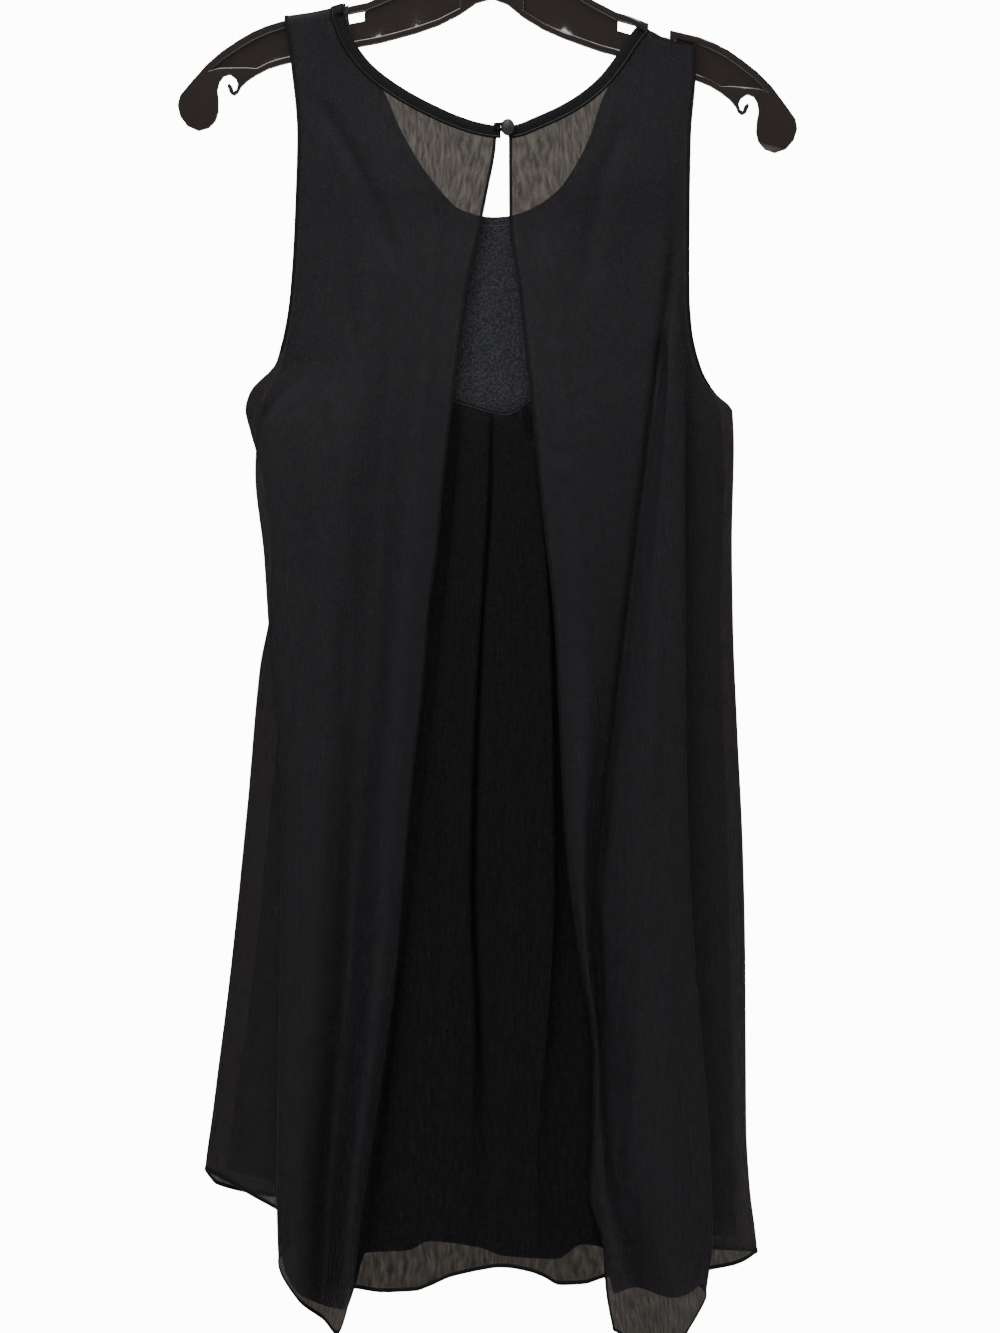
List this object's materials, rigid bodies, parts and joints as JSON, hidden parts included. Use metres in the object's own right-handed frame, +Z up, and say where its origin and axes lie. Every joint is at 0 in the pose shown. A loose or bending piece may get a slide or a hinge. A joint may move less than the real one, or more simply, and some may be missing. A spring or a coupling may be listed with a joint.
{
  "type": "cocktail dress on a plastic hanger",
  "caption": "Black sleeveless cocktail dress with open chiffon back flaps over a crepe slip, keyhole and button at the nape, hung on a moulded plastic hanger.",
  "frame": {"origin": "the hang point: the inner top of the hanger's hook, where a rail or peg carries it", "axes": "+Z up, the garment's back faces -Y, the wearer's left arm is at -X, and X runs across the shoulders"},
  "size_m": [0.4301, 0.1552, 1.0609],
  "materials": {
    "chiffon": "matte, sheer crinkled chiffon",
    "pleated_chiffon": "matte, sheer pleated chiffon",
    "crepe": "matte, pebbled crepe",
    "binding": "matte folded strip",
    "button": "cloth-covered, soft sheen",
    "hanger": "gloss black moulding"
  },
  "bodies": {
    "root": {"back_flap_left": "chiffon", "back_flap_right": "chiffon", "front_overlay": "chiffon", "back_pleat_panel": "pleated_chiffon", "slip_back": "crepe", "slip_front": "crepe", "neck_binding_left": "binding", "neck_binding_right": "binding", "neck_binding_front": "binding", "button": "button", "button_loop": "binding", "hanger": "hanger"}
  },
  "joints": []
}
